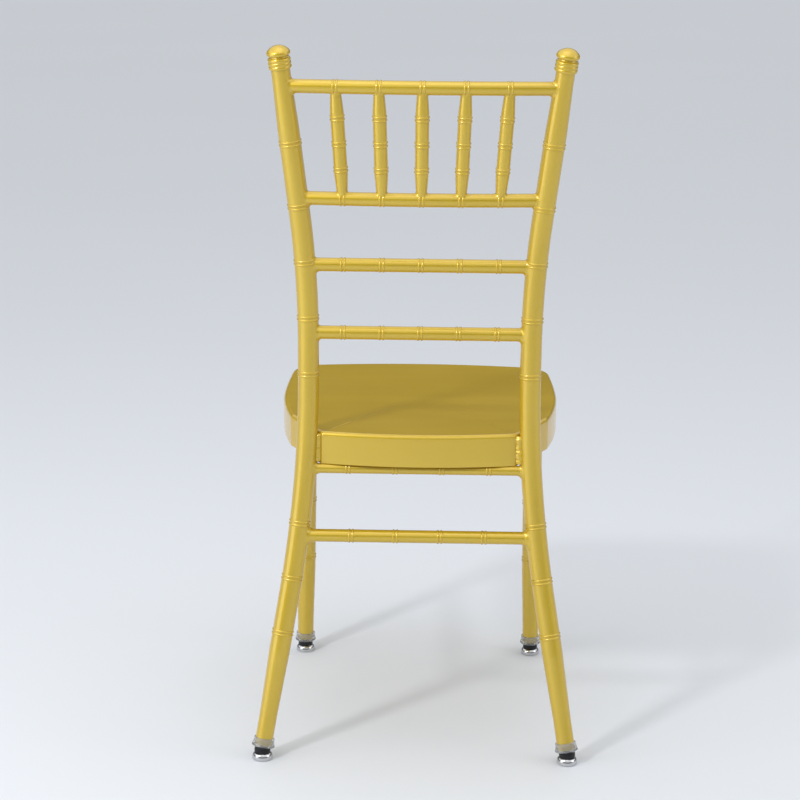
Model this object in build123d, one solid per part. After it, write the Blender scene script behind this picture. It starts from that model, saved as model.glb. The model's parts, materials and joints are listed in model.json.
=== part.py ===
from build123d import *
import os
from collections import namedtuple
from math import asin, atan2, cos, degrees, radians, sin, sqrt, tan

# Banquet chair in bamboo style: a welded frame of ringed steel tube, a pressed steel seat pan and four
# tilting foot glides. Millimetres, +Z up. The sitter faces -Y and +X is the sitter's left. The model is
# laid out from the middle of the posts' waist and moved at the end, so that the origin is on the floor
# under the middle of the whole chair.

# Rear posts: one bent tube each, from the foot to the finial
post_od = 26.4
post_wall = 1.5
post_top_od = 23.2
foot_od = 22.5
waist_half_width = 138.5       # post axis from the middle plane, where the posts stand upright
waist_low = 484.0              # height where the legs start to bend outward
waist_high = 530.0             # height where the back starts to bend outward
back_plane_deg = 50.2          # directions of the two bends, from sideways towards the rear
leg_plane_deg = 46.6
leg_bend_radius = 1095.0
leg_splay_deg = 13.55
back_bend_radius = 795.0
back_lean_deg = 10.4
post_top_height = 873.6
top_taper_start = 12.0         # from the highest ring to the start of the narrowing
top_taper_length = 62.0
foot_taper_start = 20.0        # from the lowest ring to the start of the narrowing
foot_taper_length = 85.0

# Rings: pairs of raised beads rolled into the tubes
bead_height = 0.8
bead_width = 2.8
bead_pitch = 4.4
ring_seat = 9.0                # straight length of tube that carries one pair
post_ring_pitch = 71.4
back_ring_first = 34.8         # along the post, from the top of the waist
top_ring_from_end = 90.8       # along the post, from its upper end
top_ring_least_gap = 60.0      # between the highest ring and the next one down
leg_ring_first = 183.4         # along the post, from the bottom of the waist
leg_ring_count = 3

# Back rails and spindles
rail_od = 16.8
rail_wall = 1.2
crest_drop = 20.7              # crest rail below the upper ends of the posts
spindle_bay = 136.8            # from the crest rail down to the spindle rail
upper_rung_drop = 84.0         # below the spindle rail
lower_rung_drop = 86.3         # below the upper rung
back_bow = 12.0                # how far the crest and spindle rails bow to the rear
crest_ring_pitch = 52.0
back_ring_pitch = 47.8
rings_beside_middle = 2
spindle_ring_count = 3
spindle_od = 16.6
spindle_end_od = 13.3
spindle_wall = 1.2
spindle_ring_pitch = 31.8
spindle_shoulder = 7.0         # from the outer rings to the start of the narrowing

# Seat pan
seat_height = 419.0
seat_depth = 394.0
seat_width = 367.4
sheet = 1.5
skirt_height = 41.3
top_edge_radius = 5.0
front_edge_bow = 18.9
rear_edge_bow = 13.7
widest_from_front = 159.0      # the widest place of the sides
side_taper = 6.0               # how far the sides draw in towards the front corners
front_corner_radius = 45.0
side_corner_radius = 9.0
rear_corner_radius = 7.0
corner_cut_deg = 27.8          # the cut rear corners, from fore and aft
corner_cut_rear = 11.3         # along the cut, from the post to the rear edge
corner_cut_front = 81.0        # along the cut, from the post to the side

# Front legs
front_leg_from_edge = 51.5     # leg axis behind the front edge of the seat
front_leg_from_side = 20.3     # ball joint of the leg inside the widest place of the seat
front_leg_splay_deg = 0.67
front_ring_lowest = 145.0      # height above the floor
front_ring_pitch = 85.0
front_ring_count = 3

# Seat rails and stretchers
seat_rail_od = 12.7
seat_rail_wall = 1.2
seat_rail_ring_pitch = 59.0
stretcher_od = 16.2
stretcher_wall = 1.2
rear_stretcher_drop = 133.8    # stretchers below the top of the seat
front_stretcher_drop = 99.0
side_stretcher_drop = 154.0
stretcher_ring_pitch = 56.0
side_ring_pitch = 70.0
lower_ring_count = 4           # rings on each seat rail and stretcher
weld_gap = 0.05                # between pieces that are welded together

# Finials
finial_cap_d = 28.6
finial_cap_height = 12.6
finial_rim_height = 3.0        # from the underside of the cap to its widest place
finial_shoulder_radius = 5.0
finial_neck_d = 22.0
finial_neck_height = 2.6
finial_collar_d = 26.4
finial_rib_height = 0.7
finial_rib_count = 3
finial_rib_pitch = 4.3
finial_stem_length = 22.0
finial_stem_gap = 0.05

# Foot glides, measured up the leg from the centre of the ball
ball_height = 12.0             # ball centre above the floor
ball_d = 10.0
ball_clearance = 0.1
neck_d = 4.4
shank_depth = 3.0              # of the stud in the floor of the base
collar_d = 20.6
collar_depth = 4.6             # below the ball centre
socket_depth = 3.2             # of the part of the socket that holds the ball
collar_mouth_d = 9.2
spigot_d = 13.8
spigot_clearance = 0.1
snap_lip_d = 15.2
snap_lip_height = 1.0
axial_clearance = 0.3
sleeve_bottom = 4.3
sleeve_floor = 2.4
sleeve_length = 11.5
sleeve_wall = 1.9
sleeve_fit = 0.05
sleeve_top_edge = 0.5
sleeve_lip_d = 29.6
sleeve_lip_height = 1.8
sleeve_flare_height = 7.0
base_d = 26.2
base_edge_radius = 1.6
base_belly = 3.4               # height where the base is widest and starts to round inward
base_height = 8.4
base_rim = 0.7                 # flat top of the rim
base_floor = 4.2
dish_clearance = 0.3           # between the round underside of the collar and the dish of the base
base_fit = 0.02

collar_top = sleeve_bottom - axial_clearance
tube_seat = sleeve_bottom + sleeve_floor
seat_rail_height = seat_height - skirt_height - weld_gap - seat_rail_od / 2
crest_height = post_top_height - crest_drop
spindle_rail_height = crest_height - spindle_bay
upper_rung_height = spindle_rail_height - upper_rung_drop
lower_rung_height = upper_rung_height - lower_rung_drop

Step = namedtuple("Step", "start ahead side length radius angle outline beads")


def turned(outline, beads=(), wall=None):
    # Solid of revolution about Z from (height, radius) pairs. Beads stand on stretches of even radius.
    # With a wall it is a tube whose bore follows the outside.
    edges = []
    for (low, low_r), (high, high_r) in zip(outline, outline[1:]):
        corner = (low_r, 0, low)
        for bead in [place for place in beads if low < place < high]:
            start = (low_r, 0, bead - bead_width / 2)
            end = (low_r, 0, bead + bead_width / 2)
            edges += Line(corner, start).edges()
            edges += ThreePointArc(start, (low_r + bead_height, 0, bead), end).edges()
            corner = end
        edges += Line(corner, (high_r, 0, high)).edges()
    if wall:
        inner = [(radius - wall, 0, height) for height, radius in reversed(outline)]
    else:
        inner = [(0, 0, outline[-1][0]), (0, 0, outline[0][0])]
    first = (outline[0][1], 0, outline[0][0])
    last = (outline[-1][1], 0, outline[-1][0])
    edges += Polyline(last, *inner, first).edges()
    return revolve(make_face(edges), Axis.Z)


def ring_beads(centres):
    return [centre + half for centre in centres for half in (-bead_pitch / 2, bead_pitch / 2)]


class TubePath:
    # A tube's axis in one plane. It starts ahead and bends towards the side direction.
    def __init__(self, start, ahead, side, radius):
        self.at = Vector(*start)
        self.ahead = Vector(*ahead).normalized()
        self.side = Vector(*side).normalized()
        self.radius = radius
        self.travelled = 0.0
        self.steps = []

    def run(self, length, beads=(), outline=None):
        outline = outline or [(0, self.radius), (length, self.radius)]
        self.steps.append(Step(self.at, self.ahead, self.side, length, 0, 0, outline, beads))
        self.at = self.at + self.ahead * length
        self.travelled += length

    def ring(self):
        self.run(ring_seat, ring_beads([ring_seat / 2]))
        return self.at - self.ahead * (ring_seat / 2)

    def bend(self, radius, angle):
        turn = radians(angle)
        self.steps.append(Step(self.at, self.ahead, self.side, radius * turn, radius, angle, None, ()))
        self.at = self.at + self.ahead * (radius * sin(turn)) + self.side * (radius * (1 - cos(turn)))
        ahead = self.ahead * cos(turn) + self.side * sin(turn)
        self.side = self.side * cos(turn) - self.ahead * sin(turn)
        self.ahead = ahead
        self.travelled += radius * turn

    def rings_along(self, places, radius, angle):
        # Rings at lengths from here. The tube bends between them until it has turned by the angle and
        # is straight after that. Gives the middles of the rings and the turn that is left.
        began = self.travelled
        middles = []
        for place in places:
            stop = began + place - ring_seat / 2
            turn = min(angle, degrees((stop - self.travelled) / radius))
            if turn > 0:
                self.bend(radius, turn)
                angle -= turn
            if stop - self.travelled > weld_gap:
                self.run(stop - self.travelled)
            middles.append(self.ring())
        return middles, angle

    def at_height(self, height):
        # The point of the axis at a height, found by halving the step that passes it.
        for step in self.steps:
            low, high = 0.0, 1.0
            below = step_point(step, low).Z - height
            if below * (step_point(step, high).Z - height) > 0:
                continue
            while high - low > 1e-9:
                middle = (low + high) / 2
                if below * (step_point(step, middle).Z - height) > 0:
                    low = middle
                else:
                    high = middle
            return step_point(step, low)
        raise ValueError(f"the tube does not pass the height {height}")

    def solid(self, wall=None, grow=0.0):
        # The tube itself, or with no wall the full envelope that other tubes are cut against.
        pieces = []
        for step in self.steps:
            place = Plane(origin=step.start, x_dir=step.side, z_dir=step.ahead)
            if step.angle:
                section = Circle(self.radius + grow)
                if wall:
                    section -= Circle(self.radius - wall)
                centre = step.start + step.side * step.radius
                axis = Axis(centre, step.ahead.cross(step.side))
                pieces.append(revolve(place * section, axis, step.angle))
            else:
                outline = [(along, radius + grow) for along, radius in step.outline]
                pieces.append(place * turned(outline, step.beads, wall))
        return pieces[0] + pieces[1:]


def step_point(step, share):
    if not step.angle:
        return step.start + step.ahead * (step.length * share)
    turn = radians(step.angle) * share
    return (step.start + step.ahead * (step.radius * sin(turn))
            + step.side * (step.radius * (1 - cos(turn))))


def straight_tube(start, end, outline, wall, ring_centres):
    # A straight tube from one point to another. Ring centres are counted from its middle.
    beads = ring_beads([(end - start).length / 2 + centre for centre in ring_centres])
    place = Plane(origin=start, z_dir=(end - start).normalized())
    return place * turned(outline, beads, wall)


def plain_tube(start, end, diameter, wall, ring_centres):
    outline = [(0, diameter / 2), ((end - start).length, diameter / 2)]
    return straight_tube(start, end, outline, wall, ring_centres)


def centred(pitch, count):
    return [(index - (count - 1) / 2) * pitch for index in range(count)]


def mirrored(shape):
    return mirror(shape, about=Plane.YZ)


def across(point):
    return Vector(-point.X, point.Y, point.Z)


def coped(tube, envelopes):
    # The tube between the pieces that it is welded to: the ends inside their envelopes are cut away.
    for envelope in envelopes:
        tube = tube - envelope
    return max(tube.solids(), key=lambda solid: solid.volume)


nodes = {}

# Left post, from the waist up to the finial and from the waist down to the foot
back_way = (cos(radians(back_plane_deg)), sin(radians(back_plane_deg)), 0)
leg_way = (cos(radians(leg_plane_deg)), sin(radians(leg_plane_deg)), 0)
waist_length = waist_high - waist_low
waist_ring = waist_length + back_ring_first - post_ring_pitch

back_path = TubePath((waist_half_width, 0, waist_low), (0, 0, 1), back_way, post_od / 2)
back_path.run(waist_ring - ring_seat / 2)
back_path.ring()
back_path.run(waist_length - back_path.travelled)
back_room = post_top_height - waist_high - top_ring_from_end - top_ring_least_gap
back_ring_count = 1 + int((back_room - back_ring_first) / post_ring_pitch)
back_rings = [back_ring_first + index * post_ring_pitch for index in range(back_ring_count)]
back_turn_left = back_path.rings_along(back_rings, back_bend_radius, back_lean_deg)[1]
if back_turn_left > 0:
    back_path.bend(back_bend_radius, back_turn_left)
top_run = top_ring_from_end - ring_seat / 2
back_path.run((post_top_height - back_path.at.Z) / back_path.ahead.Z - top_run - ring_seat)
back_path.ring()
back_path.run(top_run, (), [
    (0, post_od / 2),
    (top_taper_start, post_od / 2),
    (top_taper_start + top_taper_length, post_top_od / 2),
    (top_run, post_top_od / 2),
])

leg_path = TubePath((waist_half_width, 0, waist_low), (0, 0, -1), leg_way, post_od / 2)
leg_rings = [leg_ring_first + index * post_ring_pitch for index in range(leg_ring_count)]
leg_turn_left = leg_path.rings_along(leg_rings, leg_bend_radius, leg_splay_deg)[1]
if leg_turn_left > 0:
    leg_path.bend(leg_bend_radius, leg_turn_left)
rear_leg_up = leg_path.ahead * -1
ball_run = (leg_path.at.Z - ball_height) / rear_leg_up.Z
rear_ball = leg_path.at - rear_leg_up * ball_run
leg_run = ball_run - tube_seat
leg_path.run(leg_run, (), [
    (0, post_od / 2),
    (foot_taper_start, post_od / 2),
    (foot_taper_start + foot_taper_length, foot_od / 2),
    (leg_run, foot_od / 2),
])


def post_at(height):
    path = back_path if height >= waist_low else leg_path
    return path.at_height(height)


nodes["rear_post_left"] = back_path.solid(post_wall) + leg_path.solid(post_wall)
nodes["rear_post_right"] = mirrored(nodes["rear_post_left"])
post_envelope = back_path.solid(grow=weld_gap) + leg_path.solid(grow=weld_gap)
both_posts = [post_envelope, mirrored(post_envelope)]


def finial():
    # Ribbed collar, neck and mushroom cap above the tube's end, and a stem down its bore. The dome of the
    # cap is a wide crown arc that runs on into a tighter shoulder.
    stem_r = post_top_od / 2 - post_wall - finial_stem_gap
    collar_r = finial_collar_d / 2
    cap_r = finial_cap_d / 2
    collar_height = finial_rib_count * finial_rib_pitch
    neck_top = collar_height + finial_neck_height
    cap_top = neck_top + finial_cap_height
    corner = (collar_r, 0, weld_gap)
    apex = (0, 0, cap_top)
    edges = Polyline(apex, (0, 0, -finial_stem_length), (stem_r, 0, -finial_stem_length),
                     (stem_r, 0, weld_gap), corner).edges()
    for index in range(finial_rib_count):
        rib_top = (collar_r, 0, (index + 1) * finial_rib_pitch)
        rib_crest = (collar_r + finial_rib_height, 0, (index + 0.5) * finial_rib_pitch)
        edges += ThreePointArc(corner, rib_crest, rib_top).edges()
        corner = rib_top
    neck = (finial_neck_d / 2, 0, neck_top)
    underside = (cap_r - finial_rim_height, 0, neck_top)
    rim = (cap_r, 0, neck_top + finial_rim_height)
    dome = finial_cap_height - finial_rim_height
    shoulder_x = cap_r - finial_shoulder_radius
    crown_r = ((shoulder_x ** 2 + dome ** 2 - finial_shoulder_radius ** 2)
               / (2 * (dome - finial_shoulder_radius)))
    crown_share = crown_r / (crown_r - finial_shoulder_radius)
    shoulder = (shoulder_x * crown_share, 0, cap_top - crown_r + (crown_r - dome) * crown_share)
    edges += TangentArc(neck, corner, tangent=(0, 0, -1)).edges()
    edges += Line(neck, underside).edges()
    edges += TangentArc(underside, rim, tangent=(1, 0, 0)).edges()
    edges += TangentArc(rim, shoulder, tangent=(0, 0, 1)).edges()
    edges += TangentArc(apex, shoulder, tangent=(1, 0, 0)).edges()
    return revolve(make_face(edges), Axis.Z)


post_end = Plane(origin=back_path.at, x_dir=back_path.side, z_dir=back_path.ahead)
nodes["finial_left"] = post_end * finial()
nodes["finial_right"] = mirrored(nodes["finial_left"])


def bowed_path(height, ring_pitch):
    # Half of a rail that bows to the rear, from its middle ring to the axis of the left post.
    # Gives the path, the ring middles, and how far all of it moves back to meet the post.
    end = post_at(height)
    radius = (end.X ** 2 + back_bow ** 2) / (2 * back_bow)
    path = TubePath((0, 0, height), (1, 0, 0), (0, -1, 0), rail_od / 2)
    path.run(ring_seat / 2, [bead_pitch / 2])
    places = [(index + 1) * ring_pitch - ring_seat / 2 for index in range(rings_beside_middle)]
    quarter_turn = 90
    middles = [Vector(0, 0, height)] + path.rings_along(places, radius, quarter_turn)[0]
    heading = atan2(-path.ahead.Y, path.ahead.X)
    last_turn = asin(sin(heading) + (end.X - path.at.X) / radius) - heading
    path.bend(radius, degrees(last_turn))
    return path, middles, Vector(0, end.Y - path.at.Y, 0)


def bowed_rail(height, ring_pitch):
    # The rail cut between the posts, its full envelope, and its ring middles from the middle to the left.
    path, middles, back = bowed_path(height, ring_pitch)
    tube = path.solid(rail_wall)
    envelope = path.solid(grow=weld_gap)
    rail = Pos(*back) * (tube + mirrored(tube))
    full = Pos(*back) * (envelope + mirrored(envelope))
    return coped(rail, both_posts), full, [middle + back for middle in middles]


nodes["crest_rail"], crest_envelope, spindle_tops = bowed_rail(crest_height, crest_ring_pitch)
nodes["spindle_rail"], lower_envelope, spindle_feet = bowed_rail(spindle_rail_height, back_ring_pitch)


def spindle(foot, top):
    # Full between its outer rings, and narrower towards both rails.
    length = (top - foot).length
    full = spindle_ring_pitch + spindle_shoulder
    outline = [
        (0, spindle_end_od / 2),
        (rail_od / 2, spindle_end_od / 2),
        (length / 2 - full, spindle_od / 2),
        (length / 2 + full, spindle_od / 2),
        (length - rail_od / 2, spindle_end_od / 2),
        (length, spindle_end_od / 2),
    ]
    tube = straight_tube(foot, top, outline, spindle_wall, centred(spindle_ring_pitch, spindle_ring_count))
    return coped(tube, [crest_envelope, lower_envelope])


spindles = [spindle(foot, top) for foot, top in zip(spindle_feet, spindle_tops)]
nodes["spindle_middle"] = spindles[0]
for name, shape in zip(("inner", "outer"), spindles[1:]):
    nodes[f"spindle_{name}_left"] = shape
    nodes[f"spindle_{name}_right"] = mirrored(shape)


def cross_tube(end, diameter, wall, ring_centres, envelopes):
    # A level tube from one side of the chair to the other.
    return coped(plain_tube(across(end), end, diameter, wall, ring_centres), envelopes)


back_rung_rings = centred(back_ring_pitch, 2 * rings_beside_middle + 1)
seat_rail_rings = centred(seat_rail_ring_pitch, lower_ring_count)
stretcher_rings = centred(stretcher_ring_pitch, lower_ring_count)
side_rings = centred(side_ring_pitch, lower_ring_count)

for name, height in (("upper", upper_rung_height), ("lower", lower_rung_height)):
    nodes[f"{name}_back_rung"] = cross_tube(
        post_at(height), rail_od, rail_wall, back_rung_rings, both_posts)
nodes["rear_seat_rail"] = cross_tube(
    post_at(seat_rail_height), seat_rail_od, seat_rail_wall, seat_rail_rings, both_posts)
nodes["rear_stretcher"] = cross_tube(
    post_at(seat_height - rear_stretcher_drop), stretcher_od, stretcher_wall, stretcher_rings, both_posts)


# Seat pan: the cut rear corners stand against the posts just under the rounded top edge
touch = post_at(seat_height - top_edge_radius)
cut_normal = Vector(cos(radians(corner_cut_deg)), sin(radians(corner_cut_deg)), 0)
cut_way = Vector(-cut_normal.Y, cut_normal.X, 0)
cut_touch = Vector(touch.X, touch.Y, 0) - cut_normal * (post_od / 2 + weld_gap)
rear_corner = cut_touch + cut_way * corner_cut_rear
side_corner = cut_touch - cut_way * corner_cut_front
rear_middle = Vector(0, rear_corner.Y + rear_edge_bow, 0)
front_middle = rear_middle - Vector(0, seat_depth, 0)
widest = Vector(seat_width / 2, front_middle.Y + widest_from_front, 0)
front_corner = Vector(seat_width / 2 - side_taper, front_middle.Y + front_edge_bow, 0)


def pan_outline():
    half = [
        TangentArc(widest, front_corner, tangent=(0, -1, 0)),
        TangentArc(widest, side_corner, tangent=(0, 1, 0)),
        Line(side_corner, rear_corner),
    ]
    edges = ThreePointArc(across(rear_corner), rear_middle, rear_corner).edges()
    edges += ThreePointArc(across(front_corner), front_middle, front_corner).edges()
    for line in half:
        edges += line.edges()
        edges += mirrored(line).edges()
    face = make_face(edges)
    for corner, radius in ((front_corner, front_corner_radius), (side_corner, side_corner_radius),
                           (rear_corner, rear_corner_radius)):
        for place in (corner, across(corner)):
            nearest = min(face.vertices(), key=lambda vertex: (Vector(vertex) - place).length)
            face = fillet(nearest, radius)
    return face


def dished(face, height, edge_radius):
    # A block with a rounded top edge.
    block = extrude(face, height)
    return fillet(block.faces().sort_by(Axis.Z)[-1].edges(), edge_radius)


def inset(face, depth):
    # The outline moved inward, with every edge made again as a plain line or arc.
    edges = []
    for edge in offset(face, -depth).edges():
        if edge.geom_type == GeomType.LINE:
            edges += Line(edge @ 0, edge @ 1).edges()
        else:
            edges += ThreePointArc(edge @ 0, edge @ 0.5, edge @ 1).edges()
    return make_face(edges)


outside = pan_outline()
inside = inset(outside, sheet)
pan = dished(outside, skirt_height, top_edge_radius)
pan = pan - dished(inside, skirt_height - sheet, top_edge_radius - sheet)
nodes["seat_pan"] = Pos(0, 0, seat_height - skirt_height) * pan

# Front legs, from their ball joints up to the underside of the seat
front_splay = radians(front_leg_splay_deg)
front_leg_up = Vector(-sin(front_splay), 0, cos(front_splay))
front_ball = Vector(seat_width / 2 - front_leg_from_side, front_middle.Y + front_leg_from_edge, ball_height)
front_tilt_room = post_od / 2 * tan(front_splay)
front_leg_top = seat_height - sheet - weld_gap - front_tilt_room


def front_leg_at(height):
    return front_ball + front_leg_up * ((height - ball_height) / front_leg_up.Z)


def front_leg(wall=None, grow=0.0):
    foot = front_ball + front_leg_up * tube_seat
    length = (front_leg_at(front_leg_top) - foot).length
    rings = [(front_leg_at(front_ring_lowest + index * front_ring_pitch) - foot).length
             for index in range(front_ring_count)]
    taper_top = rings[0] - foot_taper_start
    outline = [
        (0, foot_od / 2 + grow),
        (taper_top - foot_taper_length, foot_od / 2 + grow),
        (taper_top, post_od / 2 + grow),
        (length, post_od / 2 + grow),
    ]
    place = Plane(origin=foot, x_dir=(0, 1, 0), z_dir=front_leg_up)
    return place * turned(outline, ring_beads(rings), wall)


nodes["front_leg_left"] = front_leg(post_wall)
nodes["front_leg_right"] = mirrored(nodes["front_leg_left"])
leg_envelope = front_leg(grow=weld_gap)
both_legs = [leg_envelope, mirrored(leg_envelope)]

nodes["front_seat_rail"] = cross_tube(
    front_leg_at(seat_rail_height), seat_rail_od, seat_rail_wall, seat_rail_rings, both_legs)
front_stretcher_end = front_leg_at(seat_height - front_stretcher_drop)
nodes["front_stretcher"] = cross_tube(
    front_stretcher_end, stretcher_od, stretcher_wall, stretcher_rings, both_legs)
for name, height, diameter, wall in (
        ("side_seat_rail", seat_rail_height, seat_rail_od, seat_rail_wall),
        ("side_stretcher", seat_height - side_stretcher_drop, stretcher_od, stretcher_wall)):
    tube = plain_tube(front_leg_at(height), post_at(height), diameter, wall, side_rings)
    nodes[f"{name}_left"] = coped(tube, [leg_envelope, post_envelope])
    nodes[f"{name}_right"] = mirrored(nodes[f"{name}_left"])


def glide_sleeve():
    # Clear cup on the foot of the leg, flared to a round lip, with a hole in its floor for the collar.
    bore_r = spigot_d / 2 + spigot_clearance
    inner_r = foot_od / 2 + sleeve_fit
    outer_r = inner_r + sleeve_wall
    lip_r = sleeve_lip_d / 2
    lip_top = sleeve_bottom + sleeve_lip_height
    lip_low = (lip_r - sleeve_lip_height, 0, sleeve_bottom)
    flare_top = lip_top + sleeve_flare_height
    top = sleeve_bottom + sleeve_length
    edges = Polyline((outer_r, 0, flare_top), (outer_r, 0, top - sleeve_top_edge),
                     (outer_r - sleeve_top_edge, 0, top), (inner_r, 0, top), (inner_r, 0, tube_seat),
                     (bore_r, 0, tube_seat), (bore_r, 0, sleeve_bottom), lip_low).edges()
    edges += TangentArc(lip_low, (lip_r, 0, lip_top), tangent=(1, 0, 0)).edges()
    edges += TangentArc((outer_r, 0, flare_top), (lip_r, 0, lip_top), tangent=(0, 0, -1)).edges()
    return revolve(make_face(edges), Axis.Z)


def glide_collar():
    # Black collar that turns in the sleeve's floor. It holds the ball in a socket, and its underside is
    # round about the centre of the ball.
    collar_r = collar_d / 2
    socket_r = ball_d / 2 + ball_clearance
    socket_edge = (sqrt(socket_r ** 2 - socket_depth ** 2), 0, -socket_depth)
    foot = (sqrt(collar_r ** 2 - collar_depth ** 2), 0, -collar_depth)
    lip_low = tube_seat + axial_clearance
    lip_high = lip_low + snap_lip_height
    edges = Polyline(socket_edge, (collar_mouth_d / 2, 0, -collar_depth), foot).edges()
    edges += TangentArc((collar_r, 0, 0), foot, tangent=(0, 0, -1)).edges()
    edges += Polyline((collar_r, 0, 0), (collar_r, 0, collar_top), (spigot_d / 2, 0, collar_top),
                      (spigot_d / 2, 0, lip_low), (snap_lip_d / 2, 0, lip_low),
                      (snap_lip_d / 2, 0, lip_high), (0, 0, lip_high), (0, 0, socket_r)).edges()
    edges += ThreePointArc((0, 0, socket_r), (socket_r, 0, 0), socket_edge).edges()
    return revolve(make_face(edges), Axis.Z)


def glide_stud():
    # Ball, neck and the shank that sits in the base.
    ball_r = ball_d / 2
    neck_r = neck_d / 2
    neck_top = -sqrt(ball_r ** 2 - neck_r ** 2)
    shank_end = base_floor - shank_depth + base_fit - ball_height
    edges = Polyline((neck_r, 0, neck_top), (neck_r, 0, shank_end), (0, 0, shank_end),
                     (0, 0, ball_r)).edges()
    edges += ThreePointArc((0, 0, ball_r), (ball_r, 0, 0), (neck_r, 0, neck_top)).edges()
    return revolve(make_face(edges), Axis.Z)


def glide_base():
    # Metal base with a flat underside, a dish that takes the collar and a blind hole for the stud.
    hole_r = neck_d / 2 + base_fit
    hole_end = base_floor - shank_depth
    base_r = base_d / 2
    flat_r = base_r - base_edge_radius
    dish_r = collar_d / 2 + dish_clearance
    floor_r = sqrt(dish_r ** 2 - (ball_height - base_floor) ** 2)
    rim_r = sqrt(dish_r ** 2 - (ball_height - base_height) ** 2)
    rim_inner = (rim_r, 0, base_height)
    rim_outer = (rim_r + base_rim, 0, base_height)
    dish_foot = (floor_r, 0, base_floor)
    dish_slope = (base_height - ball_height, 0, -rim_r)
    edges = Polyline(dish_foot, (hole_r, 0, base_floor), (hole_r, 0, hole_end), (0, 0, hole_end),
                     (0, 0, 0), (flat_r, 0, 0)).edges()
    edges += TangentArc((flat_r, 0, 0), (base_r, 0, base_edge_radius), tangent=(1, 0, 0)).edges()
    edges += Line((base_r, 0, base_edge_radius), (base_r, 0, base_belly)).edges()
    edges += TangentArc((base_r, 0, base_belly), rim_outer, tangent=(0, 0, 1)).edges()
    edges += Line(rim_outer, rim_inner).edges()
    edges += TangentArc(rim_inner, dish_foot, tangent=dish_slope).edges()
    return revolve(make_face(edges), Axis.Z)


for corner, ball, leg_up in (("rear", rear_ball, rear_leg_up), ("front", front_ball, front_leg_up)):
    along_leg = Plane(origin=ball, x_dir=(0, 1, -leg_up.Y / leg_up.Z), z_dir=leg_up)
    upright = Pos(*ball)
    floor = Pos(ball.X, ball.Y, 0)
    for name, shape in (("sleeve", along_leg * glide_sleeve()), ("collar", along_leg * glide_collar()),
                        ("stud", upright * glide_stud()), ("base", floor * glide_base())):
        nodes[f"glide_{name}_{corner}_left"] = shape
        nodes[f"glide_{name}_{corner}_right"] = mirrored(shape)

# The origin goes to the floor under the middle of the chair
front_reach = nodes["seat_pan"].bounding_box().min.Y
rear_reach = nodes["glide_sleeve_rear_left"].bounding_box().max.Y
to_origin = Pos(0, -(front_reach + rear_reach) / 2, 0)

os.makedirs("parts", exist_ok=True)
for name, shape in nodes.items():
    export_step(to_origin * shape, f"parts/{name}.step")

for corner, ball, leg_up in (("rear", rear_ball, rear_leg_up), ("front", front_ball, front_leg_up)):
    place = ball + Vector(0, to_origin.position.Y, 0)
    print(f"{corner} left ball joint: centre {tuple(place)}, leg direction {tuple(leg_up)}")
print(f"seat top from y {front_middle.Y + to_origin.position.Y} to {rear_middle.Y + to_origin.position.Y}")
print(f"{len(nodes)} nodes")
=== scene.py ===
import json
import math

import bpy
import numpy as np
from mathutils import Matrix


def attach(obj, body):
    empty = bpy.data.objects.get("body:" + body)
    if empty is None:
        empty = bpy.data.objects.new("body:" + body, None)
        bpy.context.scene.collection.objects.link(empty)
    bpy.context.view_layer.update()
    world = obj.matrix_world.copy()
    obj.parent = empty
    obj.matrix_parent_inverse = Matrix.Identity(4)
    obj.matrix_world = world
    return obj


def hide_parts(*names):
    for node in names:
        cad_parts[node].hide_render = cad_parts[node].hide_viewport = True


# Banquet chair in gold-painted ringed steel tube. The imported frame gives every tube, the seat pan and
# the foot glides; this script adds a finer skin for the pan, the weld beads, the finishes, the light and
# the camera. Metres.
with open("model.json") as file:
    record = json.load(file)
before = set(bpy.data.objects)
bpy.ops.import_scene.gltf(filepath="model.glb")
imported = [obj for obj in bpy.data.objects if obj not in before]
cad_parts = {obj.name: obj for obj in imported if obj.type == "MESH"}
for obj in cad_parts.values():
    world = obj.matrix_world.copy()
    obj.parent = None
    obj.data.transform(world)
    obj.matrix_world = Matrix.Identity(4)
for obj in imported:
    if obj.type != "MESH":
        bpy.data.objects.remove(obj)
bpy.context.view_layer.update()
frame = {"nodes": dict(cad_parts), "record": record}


class Wire:
    # one output socket; arithmetic on it adds Math nodes to its tree
    def __init__(self, sheet, socket):
        self.sheet = sheet
        self.socket = socket

    def maths(self, operation, *values):
        return self.sheet.node("ShaderNodeMath", {"operation": operation}, dict(enumerate(values)))

    def __add__(self, other):
        return self.maths("ADD", self, other)

    def __sub__(self, other):
        return self.maths("SUBTRACT", self, other)

    def __rsub__(self, other):
        return self.maths("SUBTRACT", other, self)

    def __mul__(self, other):
        return self.maths("MULTIPLY", self, other)

    __radd__ = __add__
    __rmul__ = __mul__

    def ramp(self, low, high):
        # 0 below low, 1 above high, smooth between
        settings = {"interpolation_type": "SMOOTHSTEP"}
        return self.sheet.node("ShaderNodeMapRange", settings, {"Value": self, 1: low, 2: high})


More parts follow.
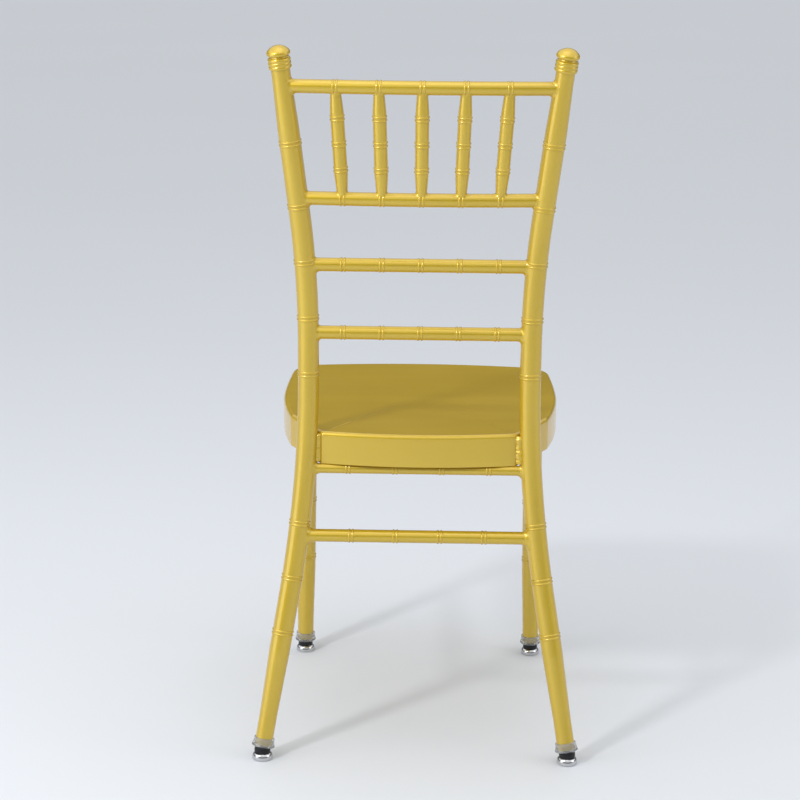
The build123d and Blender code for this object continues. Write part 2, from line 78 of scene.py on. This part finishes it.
class NodeSheet:
    # the node tree of a finish or of the world
    def __init__(self, tree):
        self.tree = tree
        self.tree.nodes.clear()

    def node(self, kind, settings=None, sockets=None, out=0):
        made = self.tree.nodes.new(kind)
        for name, value in (settings or {}).items():
            setattr(made, name, value)
        for name, value in (sockets or {}).items():
            if isinstance(value, Wire):
                self.tree.links.new(value.socket, made.inputs[name])
            else:
                made.inputs[name].default_value = value
        return Wire(self, made.outputs[out]) if made.outputs else None

    def objectCoords(self):
        return self.node("ShaderNodeTexCoord", out="Object")

    def stretched(self, coords, scale):
        return self.node("ShaderNodeMapping", {}, {"Vector": coords, "Scale": scale})

    def noise(self, coords, scale, detail=2.0, roughness=0.5):
        sockets = {"Vector": coords, "Scale": scale, "Detail": detail, "Roughness": roughness}
        return self.node("ShaderNodeTexNoise", {}, sockets)

    def mixColour(self, share, first, second):
        sockets = {"Factor": share, 6: first, 7: second}
        return self.node("ShaderNodeMix", {"data_type": "RGBA"}, sockets, out=2)

    def bump(self, height, strength, distance, under=None):
        sockets = {"Height": height, "Strength": strength, "Distance": distance}
        if under:
            sockets["Normal"] = under
        return self.node("ShaderNodeBump", {}, sockets)

    def surface(self, sockets):
        shader = self.node("ShaderNodeBsdfPrincipled", {}, sockets)
        self.node("ShaderNodeOutputMaterial", {}, {"Surface": shader})


def newFinish(name):
    material = bpy.data.materials.new(name)
    material.use_nodes = True
    return material, NodeSheet(material.node_tree)


# Gold paint: metal flake under a clear film, sprayed a little unevenly, with orange peel and a few
# specks of dust in the film; scales count per metre
goldPaint = {
    "deep": (0.58, 0.388, 0.012, 1.0),
    "bright": (0.69, 0.488, 0.034, 1.0),
    "cloudScale": 11.0,        # spray clouds
    "cloudDetail": 3.0,
    "cloudShare": 0.55,        # of the change in colour; the rest is flake
    "flakeScale": 1500.0,
    "flakeDetail": 1.0,
    "peelScale": 330.0,
    "peelStrength": 0.35,
    "peelDepth": 0.00022,
    "speckScale": 110.0,
    "speckReach": (0.015, 0.06),   # where a speck's flat top ends and where its foot ends
    "speckStrength": 0.6,
    "speckDepth": 0.0002,
    "metallic": 0.56,
    "roughness": 0.42,
    "roughnessSpread": 0.09,
    "edgeTint": (0.86, 0.53, 0.13, 1.0),
    "underShine": 0.1,         # the film carries the shine, so the layer under it has little of its own
    "coat": 1.0,
    "coatRoughness": 0.16,
    "coatIndex": 1.7,
}
panCoat = {
    "metallic": 0.42,          # the pan is sprayed thicker and shows less flake
    "sheenStreakStretch": (2.5, 15.0, 6.0),     # painted sheen: lighter and darker streaks in the colour, running across the pan from side to side, stand in for a streaky sheen
    "sheenStreakDetail": 3.0,
    "sheenStreakEdges": (0.35, 0.65),
    "sheenStreakShare": 0.3,
    "waveScale": 7.0,          # slow waves in the sheet
    "waveStrength": 1.0,
    "waveDepth": 0.0016,
}
weldCoat = {
    "lumpScale": 330.0,
    "lumpRoughness": 0.55,
    "lumpStrength": 0.6,
    "lumpDepth": 0.0005,
}


def goldFinish(name, pan=None, weld=None):
    material, sheet = newFinish(name)
    coords = sheet.objectCoords()
    cloud = sheet.noise(coords, goldPaint["cloudScale"], goldPaint["cloudDetail"])
    flake = sheet.noise(coords, goldPaint["flakeScale"], goldPaint["flakeDetail"])
    share = cloud * goldPaint["cloudShare"] + flake * (1 - goldPaint["cloudShare"])
    # painted sheen: on the pan, the colour is lightened and darkened in streaks from side to side in place
    # of a streaky sheen
    if pan:
        sheenStreakNoise = sheet.noise(sheet.stretched(coords, pan["sheenStreakStretch"]), 1.0, pan["sheenStreakDetail"])
        sheenStreaks = sheenStreakNoise.ramp(*pan["sheenStreakEdges"])
        share = share * (1 - pan["sheenStreakShare"]) + sheenStreaks * pan["sheenStreakShare"]
    peel = sheet.noise(coords, goldPaint["peelScale"])
    cells = {"Vector": coords, "Scale": goldPaint["speckScale"]}
    away = sheet.node("ShaderNodeTexVoronoi", {}, cells, out="Distance")
    specks = 1.0 - away.ramp(*goldPaint["speckReach"])
    normal = sheet.bump(peel, goldPaint["peelStrength"], goldPaint["peelDepth"])
    normal = sheet.bump(specks, goldPaint["speckStrength"], goldPaint["speckDepth"], normal)
    if pan:
        waves = sheet.noise(coords, pan["waveScale"])
        normal = sheet.bump(waves, pan["waveStrength"], pan["waveDepth"], normal)
    if weld:
        lumps = sheet.noise(coords, weld["lumpScale"], roughness=weld["lumpRoughness"])
        normal = sheet.bump(lumps, weld["lumpStrength"], weld["lumpDepth"], normal)
    sheet.surface({
        "Base Color": sheet.mixColour(share, goldPaint["deep"], goldPaint["bright"]),
        "Metallic": (pan or goldPaint)["metallic"],
        "Roughness": goldPaint["roughness"] + goldPaint["roughnessSpread"] * (cloud - 0.5),
        "Specular Tint": goldPaint["edgeTint"],
        "Specular IOR Level": goldPaint["underShine"],
        "Coat Weight": goldPaint["coat"],
        "Coat Roughness": goldPaint["coatRoughness"],
        "Coat IOR": goldPaint["coatIndex"],
        "Normal": normal,
    })
    return material


# Foot glides: clear sleeve, black collar, steel ball stud and bright plated base
clearSleeve = {
    "clouded": (0.80, 0.82, 0.82, 1.0),
    "clear": (0.90, 0.91, 0.91, 1.0),
    "hazeScale": 260.0,
    "hazeDetail": 3.0,
    "hazeStrength": 0.15,
    "hazeDepth": 0.0002,
    "roughness": 0.16,
    "roughnessSpread": 0.12,
    "transmission": 0.88,
    "index": 1.46,
}


def clearPlastic():
    material, sheet = newFinish("clearPlastic")
    haze = sheet.noise(sheet.objectCoords(), clearSleeve["hazeScale"], clearSleeve["hazeDetail"])
    sheet.surface({
        "Base Color": sheet.mixColour(haze, clearSleeve["clouded"], clearSleeve["clear"]),
        "Roughness": clearSleeve["roughness"] + clearSleeve["roughnessSpread"] * haze,
        "Transmission Weight": clearSleeve["transmission"],
        "IOR": clearSleeve["index"],
        "Normal": sheet.bump(haze, clearSleeve["hazeStrength"], clearSleeve["hazeDepth"]),
    })
    return material


blackCollar = {
    "dark": (0.005, 0.005, 0.006, 1.0),
    "pale": (0.012, 0.012, 0.013, 1.0),
    "grainScale": 2200.0,
    "grainStrength": 0.25,
    "grainDepth": 0.0001,
    "roughness": 0.38,
    "roughnessSpread": 0.15,
    "shine": 0.35,
}


def blackPlastic():
    material, sheet = newFinish("blackPlastic")
    grain = sheet.noise(sheet.objectCoords(), blackCollar["grainScale"])
    sheet.surface({
        "Base Color": sheet.mixColour(grain, blackCollar["dark"], blackCollar["pale"]),
        "Roughness": blackCollar["roughness"] + blackCollar["roughnessSpread"] * grain,
        "Specular IOR Level": blackCollar["shine"],
        "Normal": sheet.bump(grain, blackCollar["grainStrength"], blackCollar["grainDepth"]),
    })
    return material


ballStud = {
    "dull": (0.42, 0.42, 0.43, 1.0),
    "clean": (0.55, 0.55, 0.56, 1.0),
    "roughness": 0.28,
    "grainScale": 300.0,
}
platedBase = {
    "dull": (0.54, 0.54, 0.55, 1.0),
    "clean": (0.66, 0.66, 0.67, 1.0),
    "roughness": 0.08,
    "grainScale": 180.0,
}
turningMarks = {
    "stretch": (1.0, 1.0, 12.0),   # fine in height, so that they run round the piece
    "strength": 0.06,
    "depth": 0.0001,
    "roughnessSpread": 0.06,
}


def turnedMetal(name, metal):
    material, sheet = newFinish(name)
    marks = sheet.stretched(sheet.objectCoords(), turningMarks["stretch"])
    grain = sheet.noise(marks, metal["grainScale"])
    sheet.surface({
        "Base Color": sheet.mixColour(grain, metal["dull"], metal["clean"]),
        "Metallic": 1.0,
        "Roughness": metal["roughness"] + turningMarks["roughnessSpread"] * grain,
        "Normal": sheet.bump(grain, turningMarks["strength"], turningMarks["depth"]),
    })
    return material


finishes = {
    "gold_paint": goldFinish("goldPaint"),
    "clear_plastic": clearPlastic(),
    "black_plastic": blackPlastic(),
    "stud_steel": turnedMetal("studSteel", ballStud),
    "bright_plating": turnedMetal("brightPlating", platedBase),
}
panPaint = goldFinish("panPaint", pan=panCoat)
weldPaint = goldFinish("weldPaint", weld=weldCoat)

nodeSlots = {entry["node"]: entry["material_slot"] for entry in frame["record"]["subparts"]}
for nodeName, piece in frame["nodes"].items():
    piece.data.materials.clear()
    piece.data.materials.append(panPaint if nodeName == "seat_pan" else finishes[nodeSlots[nodeName]])
print("finishes set on the frame")


def gridPiece(name, points, material, ring=True):
    # points[row, column] closed along the columns; the rows close too, or else end in small flat caps;
    # the sign of the volume inside tells which way round the faces point outward
    rows, columns = points.shape[:2]
    first = np.arange(rows * columns).reshape(rows, columns)
    below = np.roll(first, -1, axis=0)
    quads = np.stack([first, below, np.roll(below, -1, axis=1), np.roll(first, -1, axis=1)], axis=-1)
    quads = (quads if ring else quads[:-1]).reshape(-1, 4)
    caps = first[:0] if ring else np.stack([first[0], first[-1][::-1]])
    flat = points.reshape(-1, 3)
    one, two, three, four = np.moveaxis(flat[quads] - flat.mean(axis=0), 1, 0)
    volume = (one * (np.cross(two, three) + np.cross(three, four))).sum()
    order = slice(None, None, 1 if volume > 0 else -1)
    faces = quads[:, order].tolist() + caps[:, order].tolist()
    mesh = bpy.data.meshes.new(name)
    mesh.from_pydata(flat.tolist(), [], faces)
    mesh.polygons.foreach_set("use_smooth", np.ones(len(faces), dtype=bool))
    mesh.update()
    mesh.materials.append(material)
    piece = bpy.data.objects.new(name, mesh)
    bpy.context.scene.collection.objects.link(piece)
    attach(piece, "frame")
    return piece


def unit(vector):
    return vector / np.linalg.norm(vector)


def nodePoints(name):
    mesh = frame["nodes"][name].data
    flat = np.empty(len(mesh.vertices) * 3)
    mesh.vertices.foreach_get("co", flat)
    return flat.reshape(-1, 3)


def tubeSection(name, way, at):
    # the points where a plane square to the way cuts the edges of a tube's mesh
    mesh = frame["nodes"][name].data
    pairs = np.empty(len(mesh.edges) * 2, dtype=np.int32)
    mesh.edges.foreach_get("vertices", pairs)
    points = nodePoints(name)
    starts, ends = points[pairs[0::2]], points[pairs[1::2]]
    before, after = starts @ way - at, ends @ way - at
    cut = before * after < 0
    share = before[cut] / (before[cut] - after[cut])
    return starts[cut] + share[:, None] * (ends[cut] - starts[cut])


def sectionMiddle(name, way, at):
    crossing = tubeSection(name, way, at)
    return (crossing.max(axis=0) + crossing.min(axis=0)) / 2


def sectionReach(name, way, at, axis):
    # the largest distance of a section's points from the tube's axis
    arms = tubeSection(name, way, at) - sectionMiddle(name, way, at)
    return np.linalg.norm(arms - np.outer(arms @ axis, axis), axis=1).max()


# Seat pan: pressed sheet with a rounded top edge, a skirt with a smooth rim and a slightly uneven top
seatPan = {
    "top": 0.419,
    "foot": 0.3777,
    "edge": 0.005,
    "sheet": 0.0015,
    "middle": (0.0, -0.03, 0.0),
    "stations": 480,
    "cornerShare": 0.05,       # metres of outline that one radian of turning counts as, for the spacing
    "footSlack": 2e-4,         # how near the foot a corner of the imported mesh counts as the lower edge
    "levelSlack": 0.05,        # how far from level a skirt's normal may be
    "angleDigits": 4,
    "curveSteps": 24,          # on each piece of the outline
    "edgeRows": 13,
    "rimRows": 9,
    "wallRows": 7,
    "lidStart": (0.995, 0.985, 0.97),      # shares of the outline, close together beside the edge
    "lidRings": (0.94, 0.02, 22),          # then evenly: first, last, how many
    "unevenness": 0.0002,
    "unevenWaves": ((31.0, 9.0, 0.0), (-14.0, 24.0, 1.3)),     # radians per metre in X and Y, start
    "fadePower": 8,            # how late the waves fade towards the edge
}


def panOutline():
    # points and outward directions round the lower edge of the skirt: cubic pieces between the corners of
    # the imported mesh, each leaving and arriving square to the skirt's own normals
    mesh = frame["nodes"]["seat_pan"].data
    owners = np.empty(len(mesh.loops), dtype=np.int32)
    mesh.loops.foreach_get("vertex_index", owners)
    normals = np.empty(len(mesh.loops) * 3)
    mesh.corner_normals.foreach_get("vector", normals)
    points, normals = nodePoints("seat_pan")[owners], normals.reshape(-1, 3)
    arms = points - np.array(seatPan["middle"])
    low = np.abs(points[:, 2] - seatPan["foot"]) < seatPan["footSlack"]
    upright = np.abs(normals[:, 2]) < seatPan["levelSlack"]
    outer = low & upright & ((arms * normals).sum(axis=1) > 0)
    angles = np.arctan2(arms[outer, 1], arms[outer, 0])
    order = np.unique(np.round(angles, seatPan["angleDigits"]), return_index=True)[1]
    knots, square = points[outer][order, :2], normals[outer][order, :2]
    ahead = np.stack([-square[:, 1], square[:, 0]], axis=1)
    ahead = ahead / np.linalg.norm(ahead, axis=1)[:, None]
    following = np.roll(knots, -1, axis=0)
    chord = np.linalg.norm(following - knots, axis=1)[:, None]
    share = np.linspace(0.0, 1.0, seatPan["curveSteps"], endpoint=False)[None, :, None]
    leave, arrive = (ahead * chord)[:, None], (np.roll(ahead, -1, axis=0) * chord)[:, None]
    curve = ((1 + 2 * share) * (1 - share) ** 2 * knots[:, None] + share * (1 - share) ** 2 * leave
             + share ** 2 * (3 - 2 * share) * following[:, None] + share ** 2 * (share - 1) * arrive)
    curve = curve.reshape(-1, 2)
    steps = np.roll(curve, -1, axis=0) - curve
    turns = np.unwrap(np.arctan2(steps[:, 1], steps[:, 0]))
    weights = np.linalg.norm(steps, axis=1) + seatPan["cornerShare"] * np.abs(np.gradient(turns))
    reached = np.concatenate([[0.0], np.cumsum(weights)])
    stations = np.linspace(0.0, reached[-1], seatPan["stations"], endpoint=False)
    closed = np.concatenate([curve, curve[:1]])
    line = np.stack([np.interp(stations, reached, closed[:, axis]) for axis in (0, 1)], axis=1)
    along = np.roll(line, -1, axis=0) - np.roll(line, 1, axis=0)
    along = along / np.linalg.norm(along, axis=1)[:, None]
    return line, np.stack([along[:, 1], -along[:, 0]], axis=1)


def panSkin():
    # rows of (distance inside the outline, height): down the inside of the sheet, round the rim, up the
    # skirt and over the rounded edge; both sides then close towards the middle of the seat, where sine
    # waves lift and lower the sheet
    line, outward = panOutline()
    top, foot, edge, sheetDepth = (seatPan[key] for key in ("top", "foot", "edge", "sheet"))
    half = sheetDepth / 2
    quarter = np.linspace(0.0, np.pi / 2, seatPan["edgeRows"])
    rimTurn = np.linspace(0.0, np.pi, seatPan["rimRows"])
    wall = np.linspace(foot + half, top - edge, seatPan["wallRows"] + 2)[1:-1]
    inner = edge - sheetDepth
    inset = np.concatenate([
        sheetDepth + inner * (1 - np.cos(quarter[::-1])), np.full(len(wall), sheetDepth),
        half + half * np.cos(rimTurn), np.zeros(len(wall)), edge * (1 - np.cos(quarter))])
    height = np.concatenate([
        top - edge + inner * np.sin(quarter[::-1]), wall[::-1],
        foot + half - half * np.sin(rimTurn), wall, top - edge + edge * np.sin(quarter)])
    rings = line[None] - inset[:, None, None] * outward[None]
    rings = np.concatenate([rings, np.broadcast_to(height[:, None, None], rings.shape[:2] + (1,))], axis=2)
    shrink = np.concatenate([seatPan["lidStart"], np.linspace(*seatPan["lidRings"])])[:, None, None]
    middle = np.array(seatPan["middle"])
    level = np.array((1.0, 1.0, 0.0))
    lid = middle + (rings[-1] - middle) * (shrink * level + (1 - level))
    floor = middle + (rings[0] - middle) * (shrink[::-1] * level + (1 - level))
    fade = (1 - shrink ** seatPan["fadePower"])[:, :, 0]
    waves = sum(np.sin(inX * lid[:, :, 0] + inY * lid[:, :, 1] + start)
                for inX, inY, start in seatPan["unevenWaves"])
    uneven = fade * seatPan["unevenness"] * waves
    lid[:, :, 2] += uneven
    floor[:, :, 2] += uneven[::-1]
    pan = gridPiece("seat_pan_skin", np.concatenate([floor, rings, lid]), panPaint, ring=False)
    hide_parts("seat_pan")


panSkin()
print("seat pan set")

# Weld fillets round the ends of the tubes
radii = {"post": 0.0132, "rail": 0.0084, "seatRail": 0.00635, "stretcher": 0.0081, "spindleEnd": 0.0067}
tubeWelds = {
    "legs": {"rail": 0.0021, "seatRail": 0.0032, "stretcher": 0.0043, "spindleEnd": 0.0018},
    "sag": 0.9,                # how much wider it is below the tube
    "ripplePitch": 0.0030,
    "ripple": 0.05,
    "wander": 0.10,
    "wanderOrders": 3,         # slow waves round the joint
    "wanderSpread": 0.5,
    "fullness": 0.22,
    "sink": 0.0005,
    "mateShare": 0.97,         # how far towards the neighbour's sides a fillet may reach
    "leastSide": 0.05,
    "leastSpread": 0.0003,
    "stations": 120,
    "columns": 10,
    "probe": 0.012,            # where the tubes' axes are looked for, from the joint
}


def hitSkin(starts, axis, beside, beam, radius):
    # how far lines along the axis run until they meet a round tube: the nearer root of the quadratic for
    # the distance from the tube's own axis
    gap = starts - beside
    gap = gap - np.outer(gap @ beam, beam)
    slope = axis - (axis @ beam) * beam
    square = slope @ slope
    half = gap @ slope
    rest = (gap * gap).sum(axis=1) - radius ** 2
    return (-half - np.sqrt(np.maximum(half ** 2 - square * rest, 0.0))) / square


def tubeWeld(name, node, way, tube, mate, mateWay, mateTube, seed):
    # a hollow fillet carried round the joint: its section is a quadratic curve from the tube's skin to the
    # neighbour's skin, pulled towards the corner between them; the width sags, ripples and wanders
    way, mateWay = np.array(way), np.array(mateWay)
    radius, leg = radii[tube], tubeWelds["legs"][tube]
    probe = tubeWelds["probe"]
    end = (nodePoints(node) @ way).max()
    near = sectionMiddle(node, way, end - probe)
    axis = unit(near - sectionMiddle(node, way, end - 2 * probe))
    at = near @ mateWay
    above, under = (sectionMiddle(mate, mateWay, at + step) for step in (probe, -probe))
    beside, beam = (above + under) / 2, unit(above - under)
    reaches = [sectionReach(mate, mateWay, at + step, beam) for step in (probe, -probe)]
    mateRadius = min(np.mean(reaches), radii[mateTube])
    side = unit(np.cross(beam, axis))
    top = np.cross(axis, side)
    turn = np.linspace(0.0, 2 * np.pi, tubeWelds["stations"], endpoint=False)
    outward = np.outer(np.cos(turn), side) + np.outer(np.sin(turn), top)
    draw = np.random.default_rng(seed)
    ripples = round(2 * np.pi * radius / tubeWelds["ripplePitch"])
    count, spread = tubeWelds["wanderOrders"], tubeWelds["wanderSpread"]
    orders = np.outer(turn, np.arange(1, count + 1))
    wander = np.cos(orders) @ draw.normal(0.0, spread, count)
    wander = wander + np.sin(orders) @ draw.normal(0.0, spread, count)
    below = np.maximum(-outward[:, 2], 0.0) ** 2
    width = leg * (1 + tubeWelds["sag"] * below) * (
        1 + tubeWelds["ripple"] * np.sin(ripples * turn) + tubeWelds["wander"] * wander)
    sideways = np.maximum(np.abs(np.cos(turn)), tubeWelds["leastSide"])
    reach = (tubeWelds["mateShare"] * mateRadius - abs((near - beside) @ side)) / sideways
    onto = np.clip(np.minimum(width, reach - radius), tubeWelds["leastSpread"], None)
    rim = near + radius * outward
    wideRim = near + (radius + onto)[:, None] * outward
    corner = rim + np.outer(hitSkin(rim, axis, beside, beam, mateRadius), axis)
    onTube = corner - np.outer(width, axis)
    onMate = wideRim + np.outer(hitSkin(wideRim, axis, beside, beam, mateRadius), axis)
    pull = corner + tubeWelds["fullness"] * ((onTube + onMate) / 2 - corner)
    share = np.linspace(0.0, 1.0, tubeWelds["columns"])[None, :, None]
    curve = ((1 - share) ** 2 * onTube[:, None] + 2 * share * (1 - share) * pull[:, None]
             + share ** 2 * onMate[:, None])
    sink = tubeWelds["sink"]
    hidden = [onMate + sink * axis, corner - sink * outward + sink * axis, onTube - sink * outward]
    grid = np.concatenate([curve] + [points[:, None] for points in hidden], axis=1)
    gridPiece(name, grid, weldPaint)


left, right = (1.0, 0.0, 0.0), (-1.0, 0.0, 0.0)
forward, rearward = (0.0, -1.0, 0.0), (0.0, 1.0, 0.0)
upward, downward = (0.0, 0.0, 1.0), (0.0, 0.0, -1.0)
seed = 1
for sideName, way in (("left", left), ("right", right)):
    post, frontLeg = f"rear_post_{sideName}", f"front_leg_{sideName}"
    for node, tube, mate in (("crest_rail", "rail", post), ("spindle_rail", "rail", post),
                             ("upper_back_rung", "rail", post), ("lower_back_rung", "rail", post),
                             ("rear_seat_rail", "seatRail", post),
                             ("front_seat_rail", "seatRail", frontLeg),
                             ("rear_stretcher", "stretcher", post),
                             ("front_stretcher", "stretcher", frontLeg)):
        tubeWeld(f"weld_{node}_{sideName}", node, way, tube, mate, upward, "post", seed)
        seed += 1
    for node, tube in (("side_seat_rail", "seatRail"), ("side_stretcher", "stretcher")):
        for endName, endWay, mate in (("front", forward, frontLeg), ("rear", rearward, post)):
            tubeWeld(f"weld_{node}_{sideName}_{endName}", f"{node}_{sideName}", endWay, tube,
                     mate, upward, "post", seed)
            seed += 1
for spindle in ("middle", "inner_left", "inner_right", "outer_left", "outer_right"):
    for endName, endWay, mate in (("top", upward, "crest_rail"), ("foot", downward, "spindle_rail")):
        tubeWeld(f"weld_spindle_{spindle}_{endName}", f"spindle_{spindle}", endWay, "spindleEnd",
                 mate, left, "rail", seed)
        seed += 1
print("tube welds:", seed - 1)

# Weld beads between the cut rear corners of the seat pan and the posts
seatWelds = {
    "top": 0.4165,
    "foot": 0.3797,
    "touch": 0.414,            # height where the pan's corner stands against the post
    "cutTurn": math.radians(27.8),
    "along": 0.0092,           # from the touching line, along the corner
    "width": 0.0031,
    "lumpPitches": (0.0041, 0.0056, 0.0073, 0.0101, 0.0152),
    "lumpStarts": 6.0,         # radians within which the lumps begin
    "sway": 0.0006,
    "blobDrop": 0.003,         # from the top of the bead to the middle of the blob
    "blobReach": 0.004,
    "endPower": 14,            # how short the rounding of the ends is
    "leastEnd": 0.004,
    "stations": 110,
    "columns": 28,
    "beads": {                 # bite into the post and the pan, lumps, blob on top
        "left_rear": (0.0016, 0.02, 0.0),
        "left_front": (0.0016, 0.05, 0.1),
        "right_rear": (0.0034, 0.05, 0.25),
        "right_front": (0.0016, 0.05, 0.1),
    },
}


def seatWeld(place, bite, lump, blob, seed):
    # a bead down the wedge: ellipses about a line between the pan's flat corner and the round post, as wide
    # as the gap there and the bite into both, with uneven lumps on the way, a blob on top and rounded ends
    sideName, endName = place.split("_")
    mirror = np.array((1.0 if sideName == "left" else -1.0, 1.0, 1.0))
    along = seatWelds["along"] if endName == "rear" else -seatWelds["along"]
    turn = seatWelds["cutTurn"]
    facing = np.array((math.cos(turn), math.sin(turn), 0.0))
    sliding = np.array((-math.sin(turn), math.cos(turn), 0.0))
    heights = (seatWelds["foot"], seatWelds["touch"])
    low, high = (sectionMiddle(f"rear_post_{sideName}", np.array(upward), z) * mirror for z in heights)
    touch = high - radii["post"] * facing
    share = np.linspace(0.0, 1.0, seatWelds["stations"])
    z = seatWelds["foot"] + share * (seatWelds["top"] - seatWelds["foot"])
    post = low + np.outer((z - heights[0]) / (heights[1] - heights[0]), high - low)
    slide = along - (post - touch) @ sliding
    gap = (post - touch) @ facing - np.sqrt(radii["post"] ** 2 - slide ** 2)
    centre = touch + along * sliding + np.outer(gap / 2, facing)
    centre[:, 2] = z
    pitches = np.array(seatWelds["lumpPitches"])
    starts = np.random.default_rng(seed).uniform(0.0, seatWelds["lumpStarts"], len(pitches))
    phases = np.outer(z, 2 * np.pi / pitches) + starts
    blobAway = (seatWelds["top"] - seatWelds["blobDrop"] - z) / seatWelds["blobReach"]
    lumps = 1 + lump * np.sin(phases).sum(axis=1) + blob * np.exp(-blobAway ** 2)
    centre = centre + np.outer(seatWelds["sway"] * lump * np.cos(phases).sum(axis=1), facing)
    ends = 1 - np.abs(2 * share - 1) ** seatWelds["endPower"]
    ends = np.sqrt(np.clip(ends, seatWelds["leastEnd"], 1.0))
    around = np.linspace(0.0, 2 * np.pi, seatWelds["columns"], endpoint=False)
    wide = (seatWelds["width"] * lumps * ends)[:, None, None]
    deep = ((np.abs(gap) / 2 + bite * lumps) * ends)[:, None, None]
    grid = (centre[:, None] + wide * np.cos(around)[None, :, None] * sliding
            + deep * np.sin(around)[None, :, None] * facing)
    gridPiece(f"weld_seat_{place}", grid * mirror, weldPaint, ring=False)


for place, bead in seatWelds["beads"].items():
    seatWeld(place, *bead, seed)
    seed += 1
print("seat welds:", len(seatWelds["beads"]))

# Floor, light and camera
studioFloor = {
    "colour": (0.695, 0.72, 0.76, 1.0),
    "coolShare": 0.97,         # how dark the darker patches are beside the colour
    "driftScale": 0.7,
    "roughness": 0.55,
    "reach": 40.0,
    "sides": 96,
}


def floorFinish():
    material, sheet = newFinish("floorFinish")
    drift = sheet.noise(sheet.objectCoords(), studioFloor["driftScale"])
    pale = studioFloor["colour"]
    cool = tuple(part * studioFloor["coolShare"] for part in pale[:3]) + (1.0,)
    sheet.surface({
        "Base Color": sheet.mixColour(drift, cool, pale),
        "Roughness": studioFloor["roughness"],
    })
    return material


def floorSheet():
    # one flat face with its corners spaced evenly round a circle
    sides, reach = studioFloor["sides"], studioFloor["reach"]
    turn = np.linspace(0.0, 2 * np.pi, sides, endpoint=False)
    edge = np.stack([np.cos(turn) * reach, np.sin(turn) * reach, np.zeros(sides)], axis=1)
    mesh = bpy.data.meshes.new("floor")
    mesh.from_pydata(edge.tolist(), [], [list(range(sides))])
    mesh.materials.append(floorFinish())
    floor = bpy.data.objects.new("floor", mesh)
    bpy.context.scene.collection.objects.link(floor)


lampAim = (0.0, 0.0, 0.45)
softBoxes = {
    "panelLight": {"place": (2.1, 1.2, 1.08), "size": (1.5, 2.1), "power": 13.5},
    "keyLight": {"place": (1.6, 1.75, 2.1), "size": (0.3, 0.3), "power": 26.0},
    "topLight": {"place": (0.1, 0.5, 3.0), "size": (1.8, 1.8), "power": 8.0},
    "fillLight": {"place": (-2.9, 0.9, 1.5), "size": (1.6, 2.0), "power": 12.0},
}


def placeObject(piece, rightWay, upWay, backWay, place):
    turn = np.eye(4)
    turn[:3, :3] = np.stack([rightWay, upWay, backWay], axis=1)
    turn[:3, 3] = place
    piece.matrix_world = Matrix(turn.tolist())


def softBox(name, place, size, power):
    lamp = bpy.data.lights.new(name, "AREA")
    lamp.shape = "RECTANGLE"
    lamp.size, lamp.size_y = size
    lamp.energy = power
    box = bpy.data.objects.new(name, lamp)
    bpy.context.scene.collection.objects.link(box)
    back = unit(np.array(place) - np.array(lampAim))
    side = unit(np.cross(upward, back))
    placeObject(box, side, np.cross(back, side), back, place)


# The bands are heights of a direction, from 0 level to 1 straight up, or its share along Y, squared
studioSky = {
    "colour": (0.97, 0.985, 1.0, 1.0),
    "haze": 0.60,              # brightness of the room where it meets the floor
    "hazeBand": (0.02, 0.12),
    "low": 0.24,               # a little higher
    "high": 1.1,               # and overhead
    "riseBand": (0.24, 0.54),
    "ends": 0.2,               # how much darker it is before and behind the chair than at its sides
    "endsBand": (0.0, 0.64),
}


def skyLight():
    world = bpy.data.worlds.new("studioSky")
    world.use_nodes = True
    bpy.context.scene.world = world
    sheet = NodeSheet(world.node_tree)
    way = sheet.node("ShaderNodeTexCoord", out="Generated")
    across, height = (sheet.node("ShaderNodeSeparateXYZ", {}, {0: way}, out=axis) for axis in ("Y", "Z"))
    low = studioSky["low"]
    glow = low + (studioSky["high"] - low) * height.ramp(*studioSky["riseBand"])
    glow = glow - studioSky["ends"] * (across * across).ramp(*studioSky["endsBand"])
    glow = glow + (studioSky["haze"] - low) * (1.0 - height.ramp(*studioSky["hazeBand"]))
    shade = sheet.node("ShaderNodeBackground", {}, {"Color": studioSky["colour"], "Strength": glow})
    sheet.node("ShaderNodeOutputWorld", {}, {"Surface": shade})


viewpoint = {
    "place": (-0.0175, 2.66457, 1.10285),
    "pitch": 0.2503,           # radians below level
    "roll": 0.00974,
    "yaw": 0.01649,
    "focalPixels": 2072.93,
    "framePixels": 800,
    "sensor": 36.0,            # millimetres
    "farthest": 200.0,
}


def photoCamera():
    data = bpy.data.cameras.new("photoCamera")
    data.sensor_width = viewpoint["sensor"]
    data.lens = viewpoint["focalPixels"] / viewpoint["framePixels"] * viewpoint["sensor"]
    data.clip_end = viewpoint["farthest"]
    camera = bpy.data.objects.new("photoCamera", data)
    bpy.context.scene.collection.objects.link(camera)
    bpy.context.scene.camera = camera
    pitch, roll, yaw = viewpoint["pitch"], viewpoint["roll"], viewpoint["yaw"]
    level = np.array((math.sin(yaw), -math.cos(yaw), 0.0))
    levelRight = np.array((-math.cos(yaw), -math.sin(yaw), 0.0))
    vertical = np.array(upward)
    ahead = math.cos(pitch) * level - math.sin(pitch) * vertical
    over = math.sin(pitch) * level + math.cos(pitch) * vertical
    rightWay = math.cos(roll) * levelRight + math.sin(roll) * over
    upWay = -math.sin(roll) * levelRight + math.cos(roll) * over
    placeObject(camera, rightWay, upWay, -ahead, viewpoint["place"])


floorSheet()
for boxName, box in softBoxes.items():
    softBox(boxName, box["place"], box["size"], box["power"])
skyLight()
photoCamera()
bpy.context.scene.view_settings.view_transform = "Standard"
print("floor, light and camera set")
